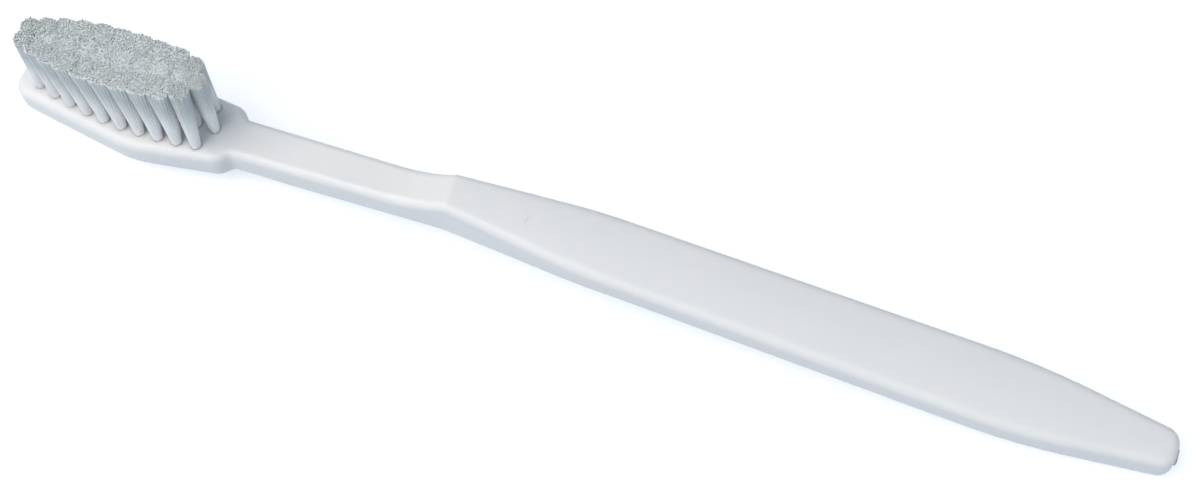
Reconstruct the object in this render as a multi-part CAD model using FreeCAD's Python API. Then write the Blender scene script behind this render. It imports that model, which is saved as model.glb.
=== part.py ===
import FreeCAD, Part

import math
import os

# Manual toothbrush lying on its back: a handle moulded in one piece, nylon tufts
# pushed into blind holes in its head, and the flat metal anchors that hold them.
# Millimetres. +X runs from the tip of the head to the end of the handle, +Z is up.
# The pieces are drawn with the head's face level at height zero and its tip at
# X zero, and are laid down on the table at the end.

V = FreeCAD.Vector
ACROSS = V(0, 1, 0)
UP = V(0, 0, 1)

# Head and neck, seen from above
head_tip_width = 5.2
head_tip_round = 2.5
head_taper_length = 18.4
head_belly_width = 11.9
head_belly_round = 15.0
head_back_length = 11.8
shoulder_width = 8.6
shoulder_round = 2.4
shoulder_length = 1.2
neck_crook_round = 1.0
neck_length = 28.65
neck_width = 5.8
waist_width = 5.3

# Grip, seen from above
grip_start_round = 20.0
flare_length = 18.2
flare_width = 9.16
flare_round = 80.0
palm_length = 56.0
palm_width = 10.1
palm_round = 90.0
tail_length = 18.5
end_width = 4.9
end_corner_round = 2.0

# Head, neck and grip, seen from the side
head_thickness = 4.7
neck_swell_length = 8.0
neck_swell_round = 40.0
neck_thickness = 5.0
ramp_length = 4.3
ramp_scoop_round = 18.0
ridge_past_neck = 0.65
ridge_height = 2.2
ridge_round = 1.1
grip_crown = 0.45
grip_thickness = 4.85
grip_drop = 11.55
back_bend_round = 100.0
top_edge_round = 1.0
back_edge_round = 1.8

# Marks left by the mould
ejector_diameter = 1.7
ejector_depth = 0.04
ejector_past_ridge = 10.9
ejector_off_centre = 0.5
gate_width = 1.6
gate_height = 1.2
gate_length = 0.25

# Tufts and their holes: two curved outer rows and a straight one between them
outer_row_count = 10
middle_row_count = 9
tuft_pitch = 2.6
first_pair_from_tip = 3.5
first_pair_spacing = 1.76
widest_pair_spacing = 6.8
widest_pair_from_tip = 20.0
hole_diameter = 1.4
hole_depth = 3.0
root_clearance = 0.05
tuft_height = 11.5
tuft_top_diameter = 2.5
tuft_top_clearance = 0.1

# How far the trimmed tops lean in
tip_lean = 1.4
tip_lean_fade_share = 0.55
top_spread_tip_share = 1.0
top_spread_neck_share = 0.66

# Anchor plates
anchor_width = 2.0
anchor_height = 1.2
anchor_thickness = 0.3
anchor_above_hole_floor = 0.6
anchor_turn = 20.0

# Helpers: how far cuts run past a face, how much of a side its corners' arcs may
# take, and the slope above which a face counts as a top or an underside
overrun = 1.0
corner_room_share = 0.98
facing_share = 0.5

# Places along the brush that follow from the sizes above
shoulder_at = head_taper_length + head_back_length
neck_at = shoulder_at + shoulder_length
grip_at = neck_at + neck_length
flare_at = grip_at + flare_length
palm_at = flare_at + palm_length
brush_length = palm_at + tail_length
ridge_at = grip_at + ridge_past_neck
grip_slope = math.atan2(grip_drop, brush_length - ridge_at)
grip_depth = grip_thickness / math.cos(grip_slope)


def rounded_outline(corners):
    """A closed wire through (point, radius) corners, each rounded as far as its sides allow."""
    points = [point for point, radius in corners]
    count = len(points)
    sides = [points[(i + 1) % count] - points[i] for i in range(count)]
    ways = [V(side).normalize() for side in sides]
    turns = [ways[i - 1].getAngle(ways[i]) for i in range(count)]
    reaches = [corners[i][1] * math.tan(turns[i] / 2) for i in range(count)]
    fits = []
    for i in range(count):
        room = corner_room_share * sides[i].Length
        fits.append(room / max(room, reaches[i] + reaches[(i + 1) % count]))
    fits = [min(fits[i - 1], fits[i]) for i in range(count)]
    starts = [points[i] - ways[i - 1] * (reaches[i] * fits[i]) for i in range(count)]
    ends = [points[i] + ways[i] * (reaches[i] * fits[i]) for i in range(count)]
    edges = []
    for i in range(count):
        if reaches[i] > 0:
            inward = (ways[i] - ways[i - 1]).normalize()
            depth = corners[i][1] * fits[i] * (1 / math.cos(turns[i] / 2) - 1)
            edges.append(Part.Arc(starts[i], points[i] + inward * depth, ends[i]).toShape())
        edges.append(Part.LineSegment(ends[i], starts[(i + 1) % count]).toShape())
    return Part.Wire(edges)


def grip_top(x):
    """Height of the grip's sloping top at a place along the brush."""
    return ridge_height - (x - ridge_at) * math.tan(grip_slope)


def grip_back(x):
    """Height of the grip's sloping underside."""
    return grip_top(x) - grip_depth


def plan_prism():
    """The handle's outline from above, as a prism taller than the handle."""
    side = [
        (0, head_tip_width, head_tip_round),
        (head_taper_length, head_belly_width, head_belly_round),
        (shoulder_at, shoulder_width, shoulder_round),
        (neck_at, neck_width, neck_crook_round),
        (grip_at, waist_width, grip_start_round),
        (flare_at, flare_width, flare_round),
        (palm_at, palm_width, palm_round),
        (brush_length, end_width, end_corner_round),
    ]
    bottom = grip_back(brush_length) - overrun
    top = ridge_height + overrun
    corners = [(V(x, -width / 2, bottom), radius) for x, width, radius in side]
    corners += [(V(x, width / 2, bottom), radius) for x, width, radius in reversed(side)]
    return Part.Face(rounded_outline(corners)).extrude(UP * (top - bottom))


def side_prism():
    """The handle's outline from the side, left tall above the grip, as a prism wider than the handle."""
    start = -overrun
    end = brush_length + overrun
    bend_at = ridge_at + (neck_thickness + ridge_height - grip_depth) / math.tan(grip_slope)
    half = max(head_belly_width, flare_width, palm_width) / 2 + overrun
    clear = ridge_height + overrun
    corners = [
        (start, 0, 0),
        (ridge_at - ramp_length, 0, ramp_scoop_round),
        (ridge_at + overrun * ramp_length / ridge_height, clear, 0),
        (end, clear, 0),
        (end, grip_back(end), 0),
        (bend_at, -neck_thickness, back_bend_round),
        (neck_at + neck_swell_length, -neck_thickness, neck_swell_round),
        (neck_at, -head_thickness, neck_swell_round),
        (start, -head_thickness, 0),
    ]
    corners = [(V(x, -half, z), radius) for x, z, radius in corners]
    return Part.Face(rounded_outline(corners)).extrude(ACROSS * (2 * half))


def grip_bar():
    """A thick round bar whose upper side is the grip's slightly domed top."""
    radius = (palm_width / 2) ** 2 / (2 * grip_crown) + grip_crown / 2
    along = V(math.cos(grip_slope), 0, -math.sin(grip_slope))
    out = V(math.sin(grip_slope), 0, math.cos(grip_slope))
    start = V(ridge_at, 0, ridge_height) - out * radius - along * brush_length
    return Part.makeCylinder(radius, 2 * brush_length + radius, start, along)


def ridge_edges(solid):
    """The edge across the brush where the ramp of the neck meets the grip's top."""
    edges = []
    for edge in solid.Edges:
        box = edge.BoundBox
        near = box.Center.z > 0 and abs(box.Center.x - ridge_at) < ramp_length / 2
        if near and box.YLength > waist_width / 2:
            edges.append(edge)
    return edges


def rim_edges(solid, facing):
    """Edges where the upright walls meet the top (facing 1) or the underside (facing -1)."""
    edges = []
    for edge in solid.Edges:
        heights = []
        for face in solid.ancestorsOfType(edge, Part.Face):
            u0, u1, v0, v1 = face.ParameterRange
            heights.append(face.normalAt((u0 + u1) / 2, (v0 + v1) / 2).z * facing)
        if max(heights) > facing_share and abs(min(heights)) < facing_share:
            edges.append(edge)
    return edges


def handle_blank():
    """The moulded handle before its holes and marks."""
    blank = plan_prism().common(side_prism()).common(grip_bar()).Solids[0]
    blank = blank.makeFillet(ridge_round, ridge_edges(blank))
    blank = blank.makeFillet(top_edge_round, rim_edges(blank, 1))
    return blank.makeFillet(back_edge_round, rim_edges(blank, -1))


def row_offset(x):
    """How far an outer row lies from the centre line, most where the head is wide."""
    share = (x - widest_pair_from_tip) / (widest_pair_from_tip - first_pair_from_tip)
    return (widest_pair_spacing - (widest_pair_spacing - first_pair_spacing) * share ** 2) / 2


def tuft_places():
    """Every tuft's name and place on the head's face. Left is the -Y side."""
    places = {}
    for i in range(outer_row_count):
        x = first_pair_from_tip + i * tuft_pitch
        places[f"tuft_left_{i + 1}"] = V(x, -row_offset(x), 0)
        places[f"tuft_right_{i + 1}"] = V(x, row_offset(x), 0)
    skipped = outer_row_count - middle_row_count
    for i in range(middle_row_count):
        x = first_pair_from_tip + (skipped + i) * tuft_pitch + tuft_pitch / 2
        places[f"tuft_middle_{i + 1}"] = V(x, 0, 0)
    return places


def tuft_tops(places):
    """Where the middle of each tuft's trimmed top is."""
    first = min(place.x for place in places.values())
    last = max(place.x for place in places.values())
    tops = {}
    for name, place in places.items():
        share = (place.x - first) / (last - first)
        spread = top_spread_tip_share + (top_spread_neck_share - top_spread_tip_share) * share
        lean = tip_lean * tip_lean_fade_share ** ((place.x - first) / tuft_pitch)
        tops[name] = V(place.x + lean, place.y * spread, tuft_height)
    return tops


def top_radius(name, tops):
    """A tuft's radius at its top, which stays clear of the nearest tuft."""
    nearest = min(tops[name].distanceToPoint(tops[other]) for other in tops if other != name)
    return min(tuft_top_diameter, nearest - tuft_top_clearance) / 2


def disc_edge(centre, radius):
    return Part.Wire(Part.makeCircle(radius, centre))


def tuft_hole(place):
    return Part.makeCylinder(hole_diameter / 2, hole_depth + overrun, place - UP * hole_depth)


def anchor(place):
    """A flat plate across the hole, wider than it, so that its ends bite into the plastic."""
    low = anchor_above_hole_floor - hole_depth
    corner = V(-anchor_width / 2, -anchor_thickness / 2, low)
    plate = Part.makeBox(anchor_width, anchor_thickness, anchor_height, corner)
    plate.rotate(V(), UP, anchor_turn)
    plate.translate(place)
    return plate


def tuft(place, top, radius):
    """A bundle of bristles folded round its anchor, straight in its hole and flared above it."""
    root_radius = hole_diameter / 2 - root_clearance
    root_depth = hole_depth - root_clearance
    root = Part.makeCylinder(root_radius, root_depth, place - UP * root_depth)
    brush = Part.makeLoft([disc_edge(place, root_radius), disc_edge(top, radius)], True, True)
    return root.fuse(brush).removeSplitter().cut(anchor(place)).Solids[0]


def ejector_mark():
    """The shallow round mark of an ejector pin on the sloping top of the grip."""
    x = ridge_at + ejector_past_ridge
    out = V(math.sin(grip_slope), 0, math.cos(grip_slope))
    base = V(x, -ejector_off_centre, grip_top(x)) - out * ejector_depth
    return Part.makeCylinder(ejector_diameter / 2, ejector_depth + overrun, base, out)


def gate_stub():
    """The stub left at the end of the handle where the plastic entered the mould."""
    middle = (grip_top(brush_length) + grip_back(brush_length)) / 2
    corner = V(brush_length - gate_length, -gate_width / 2, middle - gate_height / 2)
    return Part.makeBox(2 * gate_length, gate_width, gate_height, corner)


def handle(places):
    cutters = [ejector_mark()]
    for place in places.values():
        cutters += [tuft_hole(place), anchor(place)]
    return handle_blank().fuse(gate_stub()).cut(cutters).Solids[0]


def laid_down(shapes):
    """Where the brush lies on its back, on the head's tip and the handle's end."""
    tip = V(back_edge_round, 0, back_edge_round - head_thickness)
    end_x = brush_length - back_edge_round
    end = V(end_x, 0, grip_back(end_x) + back_edge_round / math.cos(grip_slope))
    tilt = math.degrees(math.atan2(tip.z - end.z, end.x - tip.x))
    placement = FreeCAD.Placement(V(), FreeCAD.Rotation(ACROSS, -tilt))
    whole = Part.makeCompound(shapes)
    whole.Placement = placement
    box = whole.optimalBoundingBox(False)
    placement.Base = V(-box.Center.x, -box.Center.y, -box.ZMin)
    return placement


def main():
    places = tuft_places()
    tops = tuft_tops(places)
    nodes = {"handle": handle(places)}
    for name, place in places.items():
        nodes[name] = tuft(place, tops[name], top_radius(name, tops))
    nodes["tuft_anchors"] = Part.makeCompound([anchor(place) for place in places.values()])
    placement = laid_down(list(nodes.values()))
    os.makedirs("parts", exist_ok=True)
    for name, shape in nodes.items():
        shape.Placement = placement
        shape.exportStep(os.path.join("parts", name + ".step"))
        print(name, len(shape.Solids), "solids", round(shape.Volume, 2), "mm3", shape.isValid())


main()
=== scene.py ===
import math

import bpy
import numpy as np
from mathutils import Matrix, Vector


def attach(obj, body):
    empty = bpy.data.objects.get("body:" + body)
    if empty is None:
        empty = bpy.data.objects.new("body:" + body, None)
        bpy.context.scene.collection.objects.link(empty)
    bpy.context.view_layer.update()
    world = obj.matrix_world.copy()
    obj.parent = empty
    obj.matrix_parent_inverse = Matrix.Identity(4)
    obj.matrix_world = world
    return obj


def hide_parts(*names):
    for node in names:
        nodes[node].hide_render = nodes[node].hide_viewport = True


# The looks of a manual toothbrush that lies on its back with its bristles up.
# The moulded handle and the hidden anchors keep their solids and get finishes.
# Each tuft's solid gives way to a closed, fluted bundle with free cut ends on top.
# Metres. +X runs from the tip of the head to the end of the handle, +Z is up.

MM = 0.001
WHITE = (1.0, 1.0, 1.0, 1.0)

# Tufts, from the holes in the head up to their trimmed tops
TUFT_ROOT_DEPTH = 2.95 * MM
TUFT_SHOWN_DEPTH = 1.05 * MM
TUFT_FLARE_POWER = 0.90
TUFT_TOP_FLUFF = 0.36 * MM
MIDDLE_TOP_RADIUS = 1.95 * MM
OUTER_TOP_RADIUS = 1.30 * MM
TUFT_CORNER_POWER = 4.0
TUFT_CORNER_RISE_POWER = 3.0
FIRST_SEED = 11

# Tufts at the ends of the rows stand freer, so they stay narrower and rounder
END_TUFT_TOP_FLUFF = 0.10 * MM
END_TUFT_CORNERS = 0.3

# What the trimming took off the tufts, in turn
TUFT_TRIMS = (0.0, 0.12 * MM, 0.05 * MM, 0.16 * MM, 0.08 * MM)

# Free cut ends of the bristles
BRISTLE_COUNT = 150
BRISTLE_DIAMETER = 0.17 * MM
BRISTLE_SIDES = 6
BRISTLE_CROWDING = 0.46
BRISTLE_RINGS = 3
BRISTLE_RING_POWER = 2.0
BRISTLE_FREE_SHARE = 0.10
BRISTLE_TIP_SHARE = 0.55
BRISTLE_TUCK = 0.10
BRISTLE_UNEVENNESS = 0.24 * MM
BRISTLE_LEAST_CUT = 0.2
BRISTLE_STRAY = 0.20 * MM
LAST_RING_TOLERANCE = 0.01
GOLDEN_ANGLE = math.pi * (3 - math.sqrt(5))

# Closed bundle under them, with the outer bristles as flutes
BUNDLE_OUTER_BRISTLES = 24
BUNDLE_POINTS_PER_BRISTLE = 4
BUNDLE_RINGS = 10
BUNDLE_SHARE = 0.97
BUNDLE_FLUTE_SHARE = 0.045
BUNDLE_DROP = 0.29 * MM

# Added to a tuft's seed, so that every random value has draws of its own
STRAY_X_SHIFT = 100.0
STRAY_Y_SHIFT = 200.0
CUT_SHIFT = 300.0
TONE_SHIFT = 400.0
OUTER_TONE_SHIFT = 500.0

# Faces of a tuft's solid that count as level, and how near its ends they lie
LEVEL_SHARE = 0.95
END_BAND = 0.5 * MM

# Moulded plastic of the handle
HANDLE_VARIATION = {
    "Pale": (0.80, 0.81, 0.825, 1.0),
    "Deep": (0.765, 0.778, 0.80, 1.0),
    "Clouds per Metre": 90.0,
    "Grains per Metre": 3200.0,
    "Smoothest": 0.34,
    "Roughest": 0.46,
}
HANDLE_RELIEF = {"Strength": 0.12, "Distance": 0.02 * MM}
HANDLE_BODY = {
    "IOR": 1.49,
    "Subsurface Weight": 0.35,
    "Subsurface Radius": (1.0, 0.9, 0.8),
    "Subsurface Scale": 0.8 * MM,
}

# Shading of the handle's edges: crisp on the neck, softer towards the head and the grip
NECK_MIDDLE = -32.0 * MM
CRISP_EDGES_REACH = 9.0 * MM
SOFT_EDGES_FROM = 26.0 * MM
SOFT_EDGE_RADIUS = 1.3 * MM
SOFT_EDGE_SAMPLES = 8

# Rolled strip of the anchors
ANCHOR_VARIATION = {
    "Pale": (0.68, 0.60, 0.38, 1.0),
    "Deep": (0.55, 0.47, 0.28, 1.0),
    "Clouds per Metre": 700.0,
    "Grains per Metre": 9000.0,
    "Smoothest": 0.22,
    "Roughest": 0.40,
}
ANCHOR_RELIEF = {"Strength": 0.15, "Distance": 0.01 * MM}
ANCHOR_BODY = {"Metallic": 1.0}

# Clouds and grain that both share
CLOUD_NOISE = {"Detail": 3.0, "Roughness": 0.55}
GRAIN_NOISE = {"Detail": 2.0, "Roughness": 0.6}
GRAIN_LOW = 0.3
GRAIN_HIGH = 0.7

# Nylon of the bristles at shares of the tuft's height, and how single bristles differ. Near the head the
# colour is painted light: it is made paler to stand in for light that passes through the clear bristles into
# the shade under the tops. It greys towards the top and is paler again at the cut ends.
BRISTLE_COLOURS_AND_PAINTED_LIGHT = (
    (0.10, (0.99, 0.99, 0.99, 1.0)),
    (0.25, (0.97, 0.975, 0.975, 1.0)),
    (0.38, (0.85, 0.865, 0.865, 1.0)),
    (0.52, (0.72, 0.74, 0.74, 1.0)),
    (0.72, (0.55, 0.59, 0.595, 1.0)),
    (0.92, (0.54, 0.585, 0.595, 1.0)),
    (0.97, (0.715, 0.795, 0.815, 1.0)),
)
BRISTLE_SHADES = (0.92, 1.10)
BRISTLE_ROUGHNESS = (0.28, 0.45)
BRISTLE_BODY = {
    "IOR": 1.53,
    "Subsurface Weight": 1.0,
    "Subsurface Radius": (1.0, 1.0, 1.0),
    "Subsurface Scale": 0.45 * MM,
}

# Camera, placed where the picture was taken from
CAMERA_PLACE = Vector((36.41, -100.67, 213.61)) * MM
CAMERA_RIGHT = Vector((0.941178, 0.337640, 0.013756))
CAMERA_DOWN = Vector((0.305984, -0.834240, -0.458711))
CAMERA_FOCAL_PIXELS = 1890.0
CAMERA_CLIP_START = 10.0 * MM
PICTURE_WIDTH_PIXELS = 1200.0
SENSOR_WIDTH = 36.0

# Light
WINDOW_FROM = Vector((-0.44, -0.33, 0.835))
WINDOW_DISTANCE = 1.60
WINDOW_SIZE = 1.60
WINDOW_POWER = 22.0
WINDOW_COLOUR = (1.0, 0.915, 0.82)
SKY_COLOUR = (0.79, 0.90, 1.0, 1.0)
SKY_STRENGTH_NEAR = 0.60
SKY_STRENGTH_FAR = 0.22

# Table
TABLE_SIZE = 4.0
TABLE_COLOUR = (0.50, 0.55, 0.63, 1.0)
TABLE_GLOW = 0.62


# Nodes


def add_node(tree, kind, inputs=(), **settings):
    """Adds a node. Each input is fed by a socket or set to a value."""
    made = tree.nodes.new(kind)
    for name, value in settings.items():
        setattr(made, name, value)
    for key, value in dict(inputs).items():
        if isinstance(value, bpy.types.NodeSocket):
            tree.links.new(value, made.inputs[key])
        else:
            made.inputs[key].default_value = value
    return made


def maths(tree, operation, *values):
    return add_node(tree, "ShaderNodeMath", enumerate(values), operation=operation).outputs[0]


def vector_maths(tree, operation, *values):
    return add_node(tree, "ShaderNodeVectorMath", enumerate(values), operation=operation).outputs[0]


def scaled(tree, vector, factor):
    scale = add_node(tree, "ShaderNodeVectorMath", {0: vector, "Scale": factor}, operation="SCALE")
    return scale.outputs[0]


def combined(tree, x=0.0, y=0.0, z=0.0):
    return add_node(tree, "ShaderNodeCombineXYZ", {"X": x, "Y": y, "Z": z}).outputs[0]


def mixed(tree, factor, first, second):
    """A number between two others, which are the mixer's sockets 2 and 3."""
    return add_node(tree, "ShaderNodeMix", {"Factor": factor, 2: first, 3: second}).outputs[0]


def mixed_colour(tree, factor, first, second, blend_type="MIX"):
    """A blend of two colours, which are the mixer's sockets 6 and 7."""
    mixer = add_node(tree, "ShaderNodeMix", {"Factor": factor, 6: first, 7: second},
                     data_type="RGBA", blend_type=blend_type)
    return mixer.outputs[2]


def mapped(tree, value, low, high, value_low=0.0, value_high=1.0):
    return add_node(tree, "ShaderNodeMapRange", {
        "Value": value, "From Min": value_low, "From Max": value_high,
        "To Min": low, "To Max": high}).outputs[0]


# Finishes


def new_material(name, values):
    """A material with one Principled shader and the plain values of its inputs."""
    material = bpy.data.materials.new(name)
    material.use_nodes = True
    tree = material.node_tree
    tree.nodes.clear()
    shader = add_node(tree, "ShaderNodeBsdfPrincipled", values)
    add_node(tree, "ShaderNodeOutputMaterial", {"Surface": shader.outputs[0]})
    return material, tree, shader


def surface_group():
    """Soft clouds of tone and a fine grain, as moulded plastic and rolled metal have."""
    group = bpy.data.node_groups.new("surface_variation", "ShaderNodeTree")
    face = group.interface
    for name, kind in (
        ("Pale", "NodeSocketColor"),
        ("Deep", "NodeSocketColor"),
        ("Clouds per Metre", "NodeSocketFloat"),
        ("Grains per Metre", "NodeSocketFloat"),
        ("Smoothest", "NodeSocketFloat"),
        ("Roughest", "NodeSocketFloat"),
    ):
        face.new_socket(name, in_out="INPUT", socket_type=kind)
    face.new_socket("Color", in_out="OUTPUT", socket_type="NodeSocketColor")
    face.new_socket("Roughness", in_out="OUTPUT", socket_type="NodeSocketFloat")
    face.new_socket("Height", in_out="OUTPUT", socket_type="NodeSocketFloat")
    given = add_node(group, "NodeGroupInput").outputs
    place = add_node(group, "ShaderNodeTexCoord").outputs["Object"]
    clouds = add_node(group, "ShaderNodeTexNoise", {
        "Vector": place, "Scale": given["Clouds per Metre"], **CLOUD_NOISE}).outputs["Fac"]
    grain = add_node(group, "ShaderNodeTexNoise", {
        "Vector": place, "Scale": given["Grains per Metre"], **GRAIN_NOISE}).outputs["Fac"]
    polish = mapped(group, grain, given["Smoothest"], given["Roughest"], GRAIN_LOW, GRAIN_HIGH)
    add_node(group, "NodeGroupOutput", {
        "Color": mixed_colour(group, clouds, given["Pale"], given["Deep"]),
        "Roughness": polish,
        "Height": grain,
    })
    return group


def varied(tree, shader, group, values, relief):
    """Feeds a material's colour, polish and relief from the shared variation. Returns the relief."""
    effect = add_node(tree, "ShaderNodeGroup", node_tree=group)
    for name, value in values.items():
        effect.inputs[name].default_value = value
    bump = add_node(tree, "ShaderNodeBump", {"Height": effect.outputs["Height"], **relief})
    tree.links.new(effect.outputs["Color"], shader.inputs["Base Color"])
    tree.links.new(effect.outputs["Roughness"], shader.inputs["Roughness"])
    tree.links.new(bump.outputs[0], shader.inputs["Normal"])
    return bump


def handle_plastic(group):
    """Milky white polypropylene with a satin mould finish."""
    material, tree, shader = new_material("handle_plastic", HANDLE_BODY)
    bump = varied(tree, shader, group, HANDLE_VARIATION, HANDLE_RELIEF)
    place = add_node(tree, "ShaderNodeTexCoord").outputs["Object"]
    along = add_node(tree, "ShaderNodeSeparateXYZ", {0: place}).outputs["X"]
    away = maths(tree, "ABSOLUTE", maths(tree, "SUBTRACT", along, NECK_MIDDLE))
    radius = mapped(tree, away, 0.0, SOFT_EDGE_RADIUS, CRISP_EDGES_REACH, SOFT_EDGES_FROM)
    soft = add_node(tree, "ShaderNodeBevel", {"Radius": radius}, samples=SOFT_EDGE_SAMPLES)
    tree.links.new(soft.outputs[0], bump.inputs["Normal"])
    return material


def anchor_metal(group):
    """Rolled brass strip."""
    material, tree, shader = new_material("anchor_metal", ANCHOR_BODY)
    varied(tree, shader, group, ANCHOR_VARIATION, ANCHOR_RELIEF)
    return material


def bristle_nylon():
    """Clear nylon, greyer towards the top with paler cut ends. Its pale lower part is painted light,
    standing in for light that passes through the bristles into the shade under the tops.
    """
    material, tree, shader = new_material("bristle_nylon", BRISTLE_BODY)
    height = add_node(tree, "ShaderNodeAttribute", attribute_name="bristle_height").outputs["Fac"]
    tone = add_node(tree, "ShaderNodeAttribute", attribute_name="bristle_tone").outputs["Fac"]
    # Ramp by height; its pale lower stops are painted light that lifts the shade under the tops
    ramp = add_node(tree, "ShaderNodeValToRGB", {"Fac": height})
    stops = ramp.color_ramp.elements
    stops[0].position, stops[0].color = BRISTLE_COLOURS_AND_PAINTED_LIGHT[0]
    stops[1].position, stops[1].color = BRISTLE_COLOURS_AND_PAINTED_LIGHT[-1]
    for share, colour in BRISTLE_COLOURS_AND_PAINTED_LIGHT[1:-1]:
        stops.new(share).color = colour
    shade = mapped(tree, tone, *BRISTLE_SHADES)
    colour = mixed_colour(tree, 1.0, ramp.outputs[0], shade, "MULTIPLY")
    tree.links.new(colour, shader.inputs["Base Color"])
    tree.links.new(mapped(tree, tone, *BRISTLE_ROUGHNESS), shader.inputs["Roughness"])
    return material


# Bristles


TUFT_SIZES = (
    ("Place", "NodeSocketVector"),
    ("Tilt", "NodeSocketVector"),
    ("Lean", "NodeSocketVector"),
    ("Height", "NodeSocketFloat"),
    ("Shown Depth", "NodeSocketFloat"),
    ("Root Radius", "NodeSocketFloat"),
    ("Top Radius", "NodeSocketFloat"),
    ("Corners", "NodeSocketFloat"),
    ("Bristle Count", "NodeSocketInt"),
    ("Bristle Diameter", "NodeSocketFloat"),
    ("Unevenness", "NodeSocketFloat"),
    ("Stray", "NodeSocketFloat"),
    ("Bundle Drop", "NodeSocketFloat"),
    ("Seed", "NodeSocketInt"),
)


def random_value(tree, seed, low, high, shift, index):
    """A number for each index. The sockets 2 and 3 hold its limits."""
    return add_node(tree, "FunctionNodeRandomValue", {
        2: low, 3: high, "ID": index, "Seed": maths(tree, "ADD", seed, shift)}, data_type="FLOAT").outputs[1]


def stored(tree, geometry, name, kind, value):
    return add_node(tree, "GeometryNodeStoreNamedAttribute", {
        "Geometry": geometry, "Name": name, "Value": value}, data_type=kind, domain="POINT").outputs[0]


def read(tree, name, kind):
    return add_node(tree, "GeometryNodeInputNamedAttribute", {"Name": name}, data_type=kind).outputs[0]


def moved(tree, geometry, place):
    return add_node(tree, "GeometryNodeSetPosition", {"Geometry": geometry, "Position": place}).outputs[0]


def upright(tree, rings):
    """A line with evenly spaced points."""
    line = add_node(tree, "GeometryNodeCurvePrimitiveLine").outputs[0]
    return add_node(tree, "GeometryNodeResampleCurve", {"Curve": line, "Count": rings}).outputs[0]


def tuft_path(tree, given, share, cut):
    """Middle of the tuft, share of its height and its radius at a share of its length."""
    length = maths(tree, "ADD", maths(tree, "SUBTRACT", given["Height"], cut), given["Shown Depth"])
    level = maths(tree, "SUBTRACT", maths(tree, "MULTIPLY", share, length), given["Shown Depth"])
    rise = maths(tree, "DIVIDE", maths(tree, "MAXIMUM", level, 0.0), given["Height"])
    middle = vector_maths(tree, "ADD", combined(tree, z=level), scaled(tree, given["Lean"], rise))
    flare = maths(tree, "POWER", rise, TUFT_FLARE_POWER)
    return middle, rise, mixed(tree, flare, given["Root Radius"], given["Top Radius"])


def squared(tree, given, spot, rise):
    """A spot of the round hole, moved out towards soft corners where the tufts press on each other."""
    sides = add_node(tree, "ShaderNodeSeparateXYZ", {0: spot}).outputs
    powers = [maths(tree, "POWER", maths(tree, "ABSOLUTE", sides[axis]), TUFT_CORNER_POWER) for axis in "XY"]
    square = maths(tree, "POWER", maths(tree, "ADD", *powers), 1 / TUFT_CORNER_POWER)
    reach = add_node(tree, "ShaderNodeVectorMath", {0: spot}, operation="LENGTH").outputs["Value"]
    corner = maths(tree, "DIVIDE", reach, square)
    amount = maths(tree, "MULTIPLY", maths(tree, "POWER", rise, TUFT_CORNER_RISE_POWER), given["Corners"])
    return scaled(tree, spot, mixed(tree, amount, 1.0, corner))


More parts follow.
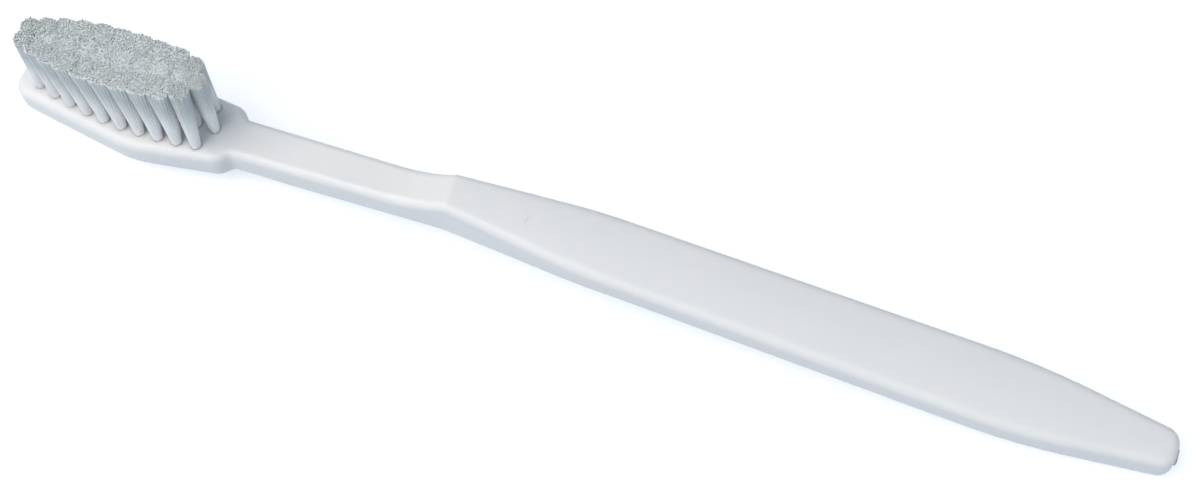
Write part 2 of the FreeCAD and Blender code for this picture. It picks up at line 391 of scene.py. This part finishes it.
def free_ends(tree, given):
    """The cut ends of a tuft's bristles, which come out of the bundle and stray a little."""
    seed = given["Seed"]

    # Each bristle's spot in the hole, as a share of the hole's radius
    points = add_node(tree, "GeometryNodePoints", {"Count": given["Bristle Count"]}).outputs[0]
    index = add_node(tree, "GeometryNodeInputIndex").outputs[0]
    filled = maths(tree, "DIVIDE", maths(tree, "ADD", index, 0.5), given["Bristle Count"])
    reach = maths(tree, "POWER", filled, BRISTLE_CROWDING)
    angle = maths(tree, "ADD", maths(tree, "MULTIPLY", index, GOLDEN_ANGLE), seed)
    spot = combined(tree, maths(tree, "MULTIPLY", reach, maths(tree, "COSINE", angle)),
                    maths(tree, "MULTIPLY", reach, maths(tree, "SINE", angle)))
    stray = combined(tree, random_value(tree, seed, -1.0, 1.0, STRAY_X_SHIFT, index),
                     random_value(tree, seed, -1.0, 1.0, STRAY_Y_SHIFT, index))
    cut = random_value(tree, seed, BRISTLE_LEAST_CUT, 1.0, CUT_SHIFT, index)
    tone = random_value(tree, seed, 0.0, 1.0, TONE_SHIFT, index)
    points = stored(tree, points, "bristle_spot", "FLOAT_VECTOR", spot)
    points = stored(tree, points, "bristle_stray", "FLOAT_VECTOR", stray)
    points = stored(tree, points, "bristle_cut", "FLOAT", cut)
    points = stored(tree, points, "bristle_tone", "FLOAT", tone)

    # A line for each, with rings closer together near the cut end
    lines = add_node(tree, "GeometryNodeInstanceOnPoints", {
        "Points": points, "Instance": upright(tree, BRISTLE_RINGS)}).outputs[0]
    lines = add_node(tree, "GeometryNodeRealizeInstances", {"Geometry": lines}).outputs[0]
    even = add_node(tree, "GeometryNodeSplineParameter").outputs["Factor"]
    left = maths(tree, "SUBTRACT", 1.0, even)
    free = maths(tree, "MULTIPLY", maths(tree, "POWER", left, BRISTLE_RING_POWER), BRISTLE_FREE_SHARE)
    share = maths(tree, "SUBTRACT", 1.0, free)

    # Tucked into the bundle below, fanned out and leaning above
    cut = maths(tree, "MULTIPLY", read(tree, "bristle_cut", "FLOAT"), given["Unevenness"])
    middle, rise, radius = tuft_path(tree, given, share, cut)
    half = maths(tree, "DIVIDE", given["Bristle Diameter"], 2.0)
    tuck = maths(tree, "SUBTRACT", 1.0, maths(tree, "MULTIPLY", left, BRISTLE_TUCK))
    reach = maths(tree, "MULTIPLY", maths(tree, "SUBTRACT", radius, half), tuck)
    out = scaled(tree, squared(tree, given, read(tree, "bristle_spot", "FLOAT_VECTOR"), rise), reach)
    wander = scaled(tree, read(tree, "bristle_stray", "FLOAT_VECTOR"),
                    maths(tree, "MULTIPLY", even, given["Stray"]))
    lines = moved(tree, lines, vector_maths(tree, "ADD", middle, vector_maths(tree, "ADD", out, wander)))
    lines = stored(tree, lines, "bristle_height", "FLOAT", rise)

    # Round bristles with rounded ends
    last = maths(tree, "COMPARE", even, 1.0, LAST_RING_TOLERANCE)
    ring = add_node(tree, "GeometryNodeCurvePrimitiveCircle", {
        "Resolution": BRISTLE_SIDES, "Radius": half}).outputs[0]
    return add_node(tree, "GeometryNodeCurveToMesh", {
        "Curve": lines, "Profile Curve": ring, "Scale": mixed(tree, last, 1.0, BRISTLE_TIP_SHARE),
        "Fill Caps": True}).outputs[0]


def fluted_bundle(tree, given):
    """The closed body of a tuft, on which the outer bristles show as flutes."""
    spine = upright(tree, BUNDLE_RINGS)
    even = add_node(tree, "GeometryNodeSplineParameter").outputs["Factor"]
    middle, rise, radius = tuft_path(tree, given, even, given["Bundle Drop"])
    spine = stored(tree, spine, "bristle_height", "FLOAT", rise)
    spine = stored(tree, spine, "bundle_radius", "FLOAT", radius)
    spine = stored(tree, spine, "bundle_middle", "FLOAT_VECTOR", middle)
    spine = moved(tree, spine, middle)

    # A hoop with a wave and a tone of its own for each outer bristle
    hoop = add_node(tree, "GeometryNodeCurvePrimitiveCircle", {
        "Resolution": BUNDLE_OUTER_BRISTLES * BUNDLE_POINTS_PER_BRISTLE, "Radius": BUNDLE_SHARE}).outputs[0]
    index = add_node(tree, "GeometryNodeInputIndex").outputs[0]
    turn = maths(tree, "MULTIPLY", index, 2 * math.pi / BUNDLE_POINTS_PER_BRISTLE)
    wave = maths(tree, "MULTIPLY", maths(tree, "COSINE", turn), BUNDLE_FLUTE_SHARE)
    spot = add_node(tree, "GeometryNodeInputPosition").outputs[0]
    hoop = moved(tree, hoop, scaled(tree, spot, maths(tree, "ADD", 1.0, wave)))
    outer = maths(tree, "ROUND", maths(tree, "DIVIDE", index, BUNDLE_POINTS_PER_BRISTLE))
    tone = random_value(tree, given["Seed"], 0.0, 1.0, OUTER_TONE_SHIFT, outer)
    hoop = stored(tree, hoop, "bristle_tone", "FLOAT", tone)
    hoop = stored(tree, hoop, "bundle_spot", "FLOAT_VECTOR", spot)

    # The hoop along the spine, as wide as the tuft and squarer towards its top
    bundle = add_node(tree, "GeometryNodeCurveToMesh", {
        "Curve": spine, "Profile Curve": hoop, "Fill Caps": True}).outputs[0]
    rise = read(tree, "bristle_height", "FLOAT")
    spot = squared(tree, given, read(tree, "bundle_spot", "FLOAT_VECTOR"), rise)
    out = scaled(tree, spot, read(tree, "bundle_radius", "FLOAT"))
    return moved(tree, bundle, vector_maths(tree, "ADD", read(tree, "bundle_middle", "FLOAT_VECTOR"), out))


def tuft_tree(material):
    """One tuft: bristles packed in a round hole that fan out to a flat trimmed top."""
    tree = bpy.data.node_groups.new("bristle_tuft", "GeometryNodeTree")
    face = tree.interface
    face.new_socket("Geometry", in_out="INPUT", socket_type="NodeSocketGeometry")
    for name, kind in TUFT_SIZES:
        face.new_socket(name, in_out="INPUT", socket_type=kind)
    face.new_socket("Geometry", in_out="OUTPUT", socket_type="NodeSocketGeometry")
    given = add_node(tree, "NodeGroupInput").outputs
    join = add_node(tree, "GeometryNodeJoinGeometry", {0: free_ends(tree, given)})
    tree.links.new(fluted_bundle(tree, given), join.inputs[0])
    tuft = add_node(tree, "GeometryNodeSetShadeSmooth", {"Geometry": join.outputs[0]}).outputs[0]
    tuft = add_node(tree, "GeometryNodeTransform", {
        "Geometry": tuft, "Translation": given["Place"], "Rotation": given["Tilt"]}).outputs[0]
    tuft = add_node(tree, "GeometryNodeRealizeInstances", {"Geometry": tuft}).outputs[0]
    tuft = add_node(tree, "GeometryNodeSetMaterial", {"Geometry": tuft, "Material": material}).outputs[0]
    add_node(tree, "NodeGroupOutput", {"Geometry": tuft})
    return tree


def level_end(node, way):
    """Normal, centre and radius of the flat end of a tuft's solid, its top (way 1) or its root (way -1)."""
    mesh = node.data
    areas = np.array([face.area for face in mesh.polygons])
    normals = np.array([face.normal for face in mesh.polygons])
    centres = np.array([face.center for face in mesh.polygons])
    heights = centres[:, 2] * way
    end = (normals[:, 2] * way > LEVEL_SHARE) & (heights > heights.max() - END_BAND)
    weights = areas[end] / areas[end].sum()
    normal = Vector((normals[end] * weights[:, None]).sum(0)).normalized()
    centre = Vector((centres[end] * weights[:, None]).sum(0))
    return normal, centre, math.sqrt(areas[end].sum() / math.pi)


def plant_tuft(tree, name, node, seed, least_top, at_end):
    """A bundle with free cut ends in the place of one tuft's solid."""
    up, top, top_radius = level_end(node, 1)
    _, root, root_radius = level_end(node, -1)
    foot = root + up * TUFT_ROOT_DEPTH
    tilt = math.atan2(up.x, up.z)
    rise = Matrix.Rotation(tilt, 3, "Y").inverted() @ (top - foot)
    fluff = END_TUFT_TOP_FLUFF if at_end else TUFT_TOP_FLUFF
    values = {
        "Place": foot,
        "Tilt": (0.0, tilt, 0.0),
        "Lean": (rise.x, rise.y, 0.0),
        "Height": rise.z - TUFT_TRIMS[seed % len(TUFT_TRIMS)],
        "Shown Depth": TUFT_SHOWN_DEPTH,
        "Root Radius": root_radius,
        "Top Radius": max(top_radius + fluff, least_top),
        "Corners": END_TUFT_CORNERS if at_end else 1.0,
        "Bristle Count": BRISTLE_COUNT,
        "Bristle Diameter": BRISTLE_DIAMETER,
        "Unevenness": BRISTLE_UNEVENNESS,
        "Stray": BRISTLE_STRAY,
        "Bundle Drop": BUNDLE_DROP,
        "Seed": seed,
    }
    piece = bpy.data.objects.new(name, bpy.data.meshes.new(name))
    bpy.context.scene.collection.objects.link(piece)
    planter = piece.modifiers.new("bristle_tuft", "NODES")
    planter.node_group = tree
    for socket in tree.interface.items_tree:
        if socket.in_out == "INPUT" and socket.name in values:
            planter[socket.identifier] = values[socket.name]
    graph = bpy.context.evaluated_depsgraph_get()
    mesh = bpy.data.meshes.new_from_object(
        piece.evaluated_get(graph), preserve_all_data_layers=True, depsgraph=graph)
    piece.modifiers.remove(planter)
    piece.data = mesh
    mesh.name = name
    return piece


def plant_tufts(nodes, material):
    tree = tuft_tree(material)
    names = sorted(name for name in nodes if name.startswith("tuft_") and name != "tuft_anchors")
    for order, name in enumerate(names):
        row, number = name.rsplit("_", 1)
        in_middle = row == "tuft_middle"
        at_tip = number == "1" and not in_middle
        at_end = at_tip or f"{row}_{int(number) + 1}" not in nodes
        least_top = MIDDLE_TOP_RADIUS if in_middle and not at_end else OUTER_TOP_RADIUS
        piece = plant_tuft(tree, name.replace("tuft_", "bristles_"), nodes[name], FIRST_SEED + order,
                           least_top, at_end)
        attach(piece, "root")
        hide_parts(name)


# Table, light and camera


def table_top():
    """A plain pale table that the camera sees as white, with the brush's shadow."""
    material, tree, shader = new_material("table_top", {
        "Base Color": TABLE_COLOUR, "Roughness": 1.0, "Specular IOR Level": 0.0, "Emission Color": WHITE})
    rays = add_node(tree, "ShaderNodeLightPath").outputs
    seen = maths(tree, "MAXIMUM", rays["Is Camera Ray"],
                 maths(tree, "MAXIMUM", rays["Is Glossy Ray"], rays["Is Transmission Ray"]))
    tree.links.new(maths(tree, "MULTIPLY", seen, TABLE_GLOW), shader.inputs["Emission Strength"])
    mesh = bpy.data.meshes.new("table_top")
    half = TABLE_SIZE / 2
    corners = [(-half, -half, 0), (half, -half, 0), (half, half, 0), (-half, half, 0)]
    mesh.from_pydata(corners, [], [(0, 1, 2, 3)])
    mesh.materials.append(material)
    table = bpy.data.objects.new("table_top", mesh)
    bpy.context.scene.collection.objects.link(table)


def window_light():
    lamp = bpy.data.lights.new("window", "AREA")
    lamp.size = WINDOW_SIZE
    lamp.energy = WINDOW_POWER
    lamp.color = WINDOW_COLOUR
    window = bpy.data.objects.new("window", lamp)
    way = WINDOW_FROM.normalized()
    window.location = way * WINDOW_DISTANCE
    window.rotation_euler = way.to_track_quat("Z", "Y").to_euler()
    bpy.context.scene.collection.objects.link(window)


def sky_light():
    """A pale blue sky that is stronger on the near side than on the far side."""
    sky = bpy.data.worlds.new("sky")
    bpy.context.scene.world = sky
    sky.use_nodes = True
    tree = sky.node_tree
    background = tree.nodes["Background"]
    background.inputs["Color"].default_value = SKY_COLOUR
    way = add_node(tree, "ShaderNodeTexCoord").outputs["Generated"]
    across = add_node(tree, "ShaderNodeSeparateXYZ", {0: way}).outputs["Y"]
    tree.links.new(mapped(tree, across, SKY_STRENGTH_NEAR, SKY_STRENGTH_FAR), background.inputs["Strength"])


def camera():
    lens = bpy.data.cameras.new("camera")
    lens.sensor_width = SENSOR_WIDTH
    lens.lens = CAMERA_FOCAL_PIXELS / PICTURE_WIDTH_PIXELS * SENSOR_WIDTH
    lens.clip_start = CAMERA_CLIP_START
    eye = bpy.data.objects.new("camera", lens)
    right = CAMERA_RIGHT.normalized()
    up = -(CAMERA_DOWN - right * CAMERA_DOWN.dot(right)).normalized()
    turn = Matrix((right, up, right.cross(up))).transposed()
    eye.matrix_world = Matrix.Translation(CAMERA_PLACE) @ turn.to_4x4()
    bpy.context.scene.collection.objects.link(eye)
    bpy.context.scene.camera = eye


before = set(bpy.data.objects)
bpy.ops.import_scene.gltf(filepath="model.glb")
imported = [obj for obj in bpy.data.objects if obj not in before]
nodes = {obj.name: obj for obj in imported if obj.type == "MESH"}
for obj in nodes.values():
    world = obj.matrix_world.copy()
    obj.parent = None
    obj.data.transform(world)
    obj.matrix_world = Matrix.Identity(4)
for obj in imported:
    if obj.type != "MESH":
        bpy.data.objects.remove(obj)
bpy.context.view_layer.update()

surface = surface_group()
nodes["handle"].data.materials.clear()
nodes["handle"].data.materials.append(handle_plastic(surface))
nodes["tuft_anchors"].data.materials.clear()
nodes["tuft_anchors"].data.materials.append(anchor_metal(surface))
plant_tufts(nodes, bristle_nylon())

table_top()
window_light()
sky_light()
camera()
bpy.context.scene.view_settings.view_transform = "Standard"
